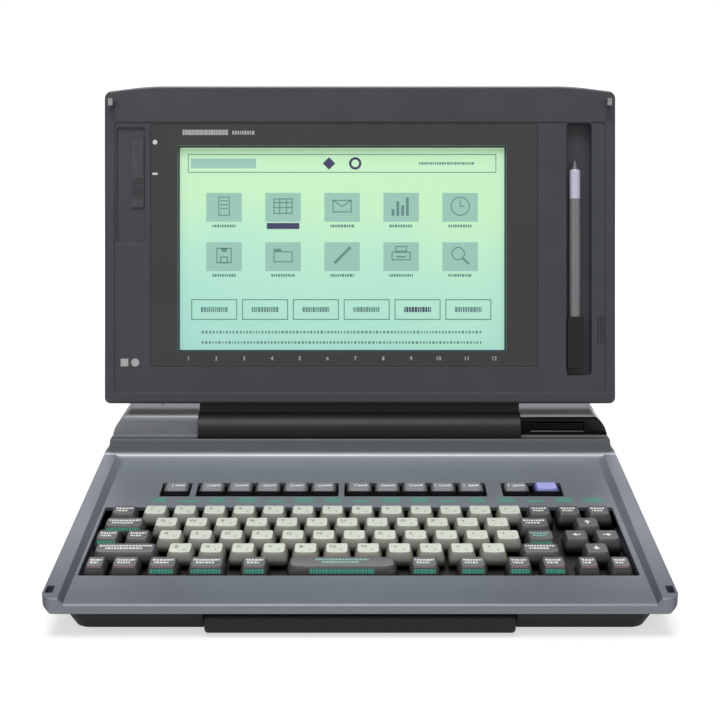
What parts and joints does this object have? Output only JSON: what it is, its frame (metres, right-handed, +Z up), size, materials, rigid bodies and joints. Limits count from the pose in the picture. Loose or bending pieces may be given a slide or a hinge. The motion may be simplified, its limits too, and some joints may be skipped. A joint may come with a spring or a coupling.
{
  "type": "portable electronic word processor",
  "caption": "Portable word processor: wedge keyboard base with built-in printer, disk drive and carry handle, and a hinged lid with a liquid crystal screen and stylus.",
  "frame": {"origin": "On the table under the middle of the base's outline, at rest with the lid open.", "axes": "+X to the typist's right, +Y away from the typist, +Z up."},
  "size_m": [0.344, 0.35, 0.2824],
  "materials": {
    "lid_charcoal": "satin charcoal moulding",
    "lid_back_grey": "satin mid grey moulding",
    "deck_grey": "blue-grey metallic paint on plastic",
    "housing_grey": "grey metallic paint on plastic",
    "case_black": "fine textured black",
    "letter_keys": "light grey-beige keys",
    "dark_keys": "dark grey keys",
    "grey_keys": "grey keys",
    "lavender_key": "lavender key",
    "rubber_black": "matt black",
    "steel": "zinc-plated steel",
    "machine_plastic": "dark engineering plastic",
    "circuit_board": "green board with black parts",
    "panel_gloss": "glossy dark brown-grey",
    "screen_glass": "pale green liquid crystal glass",
    "stylus_pale": "grey barrel with pale collar"
  },
  "bodies": {
    "base": {"bottom_case": "case_black", "deck_cover": "deck_grey", "rear_housing": "housing_grey", "rubber_feet": "rubber_black", "case_screws": "steel", "key_frame": "case_black", "dome_mat": "rubber_black", "keyboard_plate": "steel", "main_board": "circuit_board", "power_supply": "circuit_board", "speaker": "machine_plastic", "floppy_drive": "machine_plastic", "card_slot": "case_black", "power_inlet": "case_black", "printer_chassis": "steel", "guide_rod": "steel", "drive_belt": "rubber_black", "stepping_motors": "steel", "hinge_pins": "steel"},
    "lid": {"lid_bezel": "lid_charcoal", "lid_back_cover": "lid_back_grey", "lid_screws": "steel", "screen_panel": "panel_gloss", "lcd_glass": "screen_glass", "backlight": "machine_plastic", "inverter_board": "circuit_board", "hinge_cover": "lid_charcoal", "stylus_holder": "case_black", "latch_hooks": "steel"},
    "carriage_unit": {"carriage": "machine_plastic", "ribbon_cassette": "machine_plastic"},
    "carry_handle_body": {"carry_handle": "case_black"},
    "latch_slide_left_body": {"latch_slide_left": "machine_plastic"},
    "latch_slide_right_body": {"latch_slide_right": "machine_plastic"},
    "eject_button_body": {"eject_button": "machine_plastic"},
    "card_flap_body": {"card_flap": "case_black"},
    "printer_cover_body": {"printer_cover": "housing_grey"},
    "paper_support_body": {"paper_support": "housing_grey"},
    "drive_pulley_body": {"drive_pulley": "machine_plastic"},
    "tension_pulley_body": {"tension_pulley": "machine_plastic"},
    "platen_roller_body": {"platen_roller": "rubber_black"},
    "idler_gear_body": {"idler_gear": "machine_plastic"},
    "feed_pinion_body": {"feed_pinion": "machine_plastic"},
    "pressure_rollers_body": {"pressure_rollers": "rubber_black"},
    "contrast_slider_body": {"contrast_slider": "machine_plastic"},
    "stylus_body": {"stylus": "stylus_pale"},
    "number_keys_body": {"number_keys": "letter_keys"},
    "upper_letter_keys_body": {"upper_letter_keys": "letter_keys"},
    "home_letter_keys_body": {"home_letter_keys": "letter_keys"},
    "lower_letter_keys_body": {"lower_letter_keys": "letter_keys"},
    "left_control_keys_body": {"left_control_keys": "dark_keys"},
    "shift_keys_body": {"shift_keys": "dark_keys"},
    "editing_keys_body": {"editing_keys": "dark_keys"},
    "enter_key_body": {"enter_key": "dark_keys"},
    "cursor_keys_body": {"cursor_keys": "dark_keys"},
    "space_bar_body": {"space_bar": "dark_keys"},
    "lowest_row_keys_body": {"lowest_row_keys": "dark_keys"},
    "function_keys_body": {"function_keys": "grey_keys"},
    "power_key_body": {"power_key": "lavender_key"}
  },
  "joints": [
    {"name": "lid_hinge", "type": "hinge", "parent": "base", "child": "lid", "pos_m": [0, 0.056, 0.05401], "axis": [1, 0, 0], "range_deg": [-12, 107.9]},
    {"name": "handle_slide", "type": "slide", "parent": "base", "child": "carry_handle_body", "axis": [0, -1, 0], "range_m": [0, 0.032]},
    {"name": "left_latch_slide", "type": "slide", "parent": "base", "child": "latch_slide_left_body", "axis": [0, -1, 0], "range_m": [0, 0.0035]},
    {"name": "right_latch_slide", "type": "slide", "parent": "base", "child": "latch_slide_right_body", "axis": [0, -1, 0], "range_m": [0, 0.0035]},
    {"name": "eject_press", "type": "slide", "parent": "base", "child": "eject_button_body", "axis": [-1, 0, 0], "range_m": [0, 0.003], "stiffness_N_per_m": 400, "springref_m": -0.002},
    {"name": "card_flap_swing", "type": "hinge", "parent": "base", "child": "card_flap_body", "pos_m": [0.1335, 0.0552, 0.0594], "axis": [1, 0, 0], "range_deg": [0, 80], "stiffness_Nm_per_rad": 0.002, "springref_deg": -5.73},
    {"name": "printer_cover_hinge", "type": "hinge", "parent": "base", "child": "printer_cover_body", "pos_m": [-0.023, 0.1144, 0.06428], "axis": [-1, 0, 0], "range_deg": [0, 95]},
    {"name": "paper_support_hinge", "type": "hinge", "parent": "base", "child": "paper_support_body", "pos_m": [-0.023, 0.1532, 0.06428], "axis": [1, 0, 0], "range_deg": [0, 75]},
    {"name": "carriage_slide", "type": "slide", "parent": "base", "child": "carriage_unit", "axis": [1, 0, 0], "range_m": [-0.075, 0.075]},
    {"name": "drive_pulley_spin", "type": "hinge", "parent": "base", "child": "drive_pulley_body", "pos_m": [-0.125, 0.0825, 0.0405], "axis": [0, 0, 1], "continuous": true},
    {"name": "tension_pulley_spin", "type": "hinge", "parent": "base", "child": "tension_pulley_body", "pos_m": [0.079, 0.0825, 0.0405], "axis": [0, 0, 1], "continuous": true},
    {"name": "platen_spin", "type": "hinge", "parent": "base", "child": "platen_roller_body", "pos_m": [-0.023, 0.131, 0.05], "axis": [1, 0, 0], "continuous": true},
    {"name": "idler_spin", "type": "hinge", "parent": "base", "child": "idler_gear_body", "pos_m": [0.098, 0.1485, 0.04676], "axis": [1, 0, 0], "continuous": true},
    {"name": "feed_pinion_spin", "type": "hinge", "parent": "base", "child": "feed_pinion_body", "pos_m": [0.098, 0.15858, 0.0489], "axis": [1, 0, 0], "continuous": true},
    {"name": "pressure_roller_spin", "type": "hinge", "parent": "base", "child": "pressure_rollers_body", "pos_m": [-0.023, 0.131, 0.0387], "axis": [1, 0, 0], "continuous": true},
    {"name": "contrast_slide", "type": "slide", "parent": "lid", "child": "contrast_slider_body", "axis": [0, -0.2079, -0.9781], "range_m": [0, 0.015]},
    {"name": "stylus_slide", "type": "slide", "parent": "lid", "child": "stylus_body", "axis": [0, 0.2079, 0.9781], "range_m": [0, 0.024]},
    {"name": "number_keys_press", "type": "slide", "parent": "base", "child": "number_keys_body", "axis": [0, 0.0958, -0.9954], "range_m": [0, 0.0028], "stiffness_N_per_m": 400, "springref_m": -0.003},
    {"name": "upper_letter_keys_press", "type": "slide", "parent": "base", "child": "upper_letter_keys_body", "axis": [0, 0.0958, -0.9954], "range_m": [0, 0.0028], "stiffness_N_per_m": 400, "springref_m": -0.003},
    {"name": "home_letter_keys_press", "type": "slide", "parent": "base", "child": "home_letter_keys_body", "axis": [0, 0.0958, -0.9954], "range_m": [0, 0.0028], "stiffness_N_per_m": 400, "springref_m": -0.003},
    {"name": "lower_letter_keys_press", "type": "slide", "parent": "base", "child": "lower_letter_keys_body", "axis": [0, 0.0958, -0.9954], "range_m": [0, 0.0028], "stiffness_N_per_m": 400, "springref_m": -0.003},
    {"name": "left_control_keys_press", "type": "slide", "parent": "base", "child": "left_control_keys_body", "axis": [0, 0.0958, -0.9954], "range_m": [0, 0.0028], "stiffness_N_per_m": 400, "springref_m": -0.003},
    {"name": "shift_keys_press", "type": "slide", "parent": "base", "child": "shift_keys_body", "axis": [0, 0.0958, -0.9954], "range_m": [0, 0.0028], "stiffness_N_per_m": 400, "springref_m": -0.003},
    {"name": "editing_keys_press", "type": "slide", "parent": "base", "child": "editing_keys_body", "axis": [0, 0.0958, -0.9954], "range_m": [0, 0.0028], "stiffness_N_per_m": 400, "springref_m": -0.003},
    {"name": "enter_key_press", "type": "slide", "parent": "base", "child": "enter_key_body", "axis": [0, 0.0958, -0.9954], "range_m": [0, 0.0028], "stiffness_N_per_m": 220, "springref_m": -0.003},
    {"name": "cursor_keys_press", "type": "slide", "parent": "base", "child": "cursor_keys_body", "axis": [0, 0.0958, -0.9954], "range_m": [0, 0.0028], "stiffness_N_per_m": 400, "springref_m": -0.003},
    {"name": "space_bar_press", "type": "slide", "parent": "base", "child": "space_bar_body", "axis": [0, 0.0958, -0.9954], "range_m": [0, 0.0028], "stiffness_N_per_m": 260, "springref_m": -0.003},
    {"name": "lowest_row_keys_press", "type": "slide", "parent": "base", "child": "lowest_row_keys_body", "axis": [0, 0.0958, -0.9954], "range_m": [0, 0.0028], "stiffness_N_per_m": 400, "springref_m": -0.003},
    {"name": "function_keys_press", "type": "slide", "parent": "base", "child": "function_keys_body", "axis": [0, 0.0958, -0.9954], "range_m": [0, 0.002], "stiffness_N_per_m": 400, "springref_m": -0.003},
    {"name": "power_key_press", "type": "slide", "parent": "base", "child": "power_key_body", "axis": [0, 0.0958, -0.9954], "range_m": [0, 0.002], "stiffness_N_per_m": 200, "springref_m": -0.003}
  ],
  "couplings": [
    {"joint": "drive_pulley_spin", "follows": "carriage_slide", "rad_per_m": -172.41},
    {"joint": "tension_pulley_spin", "follows": "carriage_slide", "rad_per_m": -172.41},
    {"joint": "idler_spin", "follows": "platen_spin", "ratio": -1.6923},
    {"joint": "feed_pinion_spin", "follows": "platen_spin", "ratio": 3.1429},
    {"joint": "pressure_roller_spin", "follows": "platen_spin", "ratio": -2.6667}
  ]
}
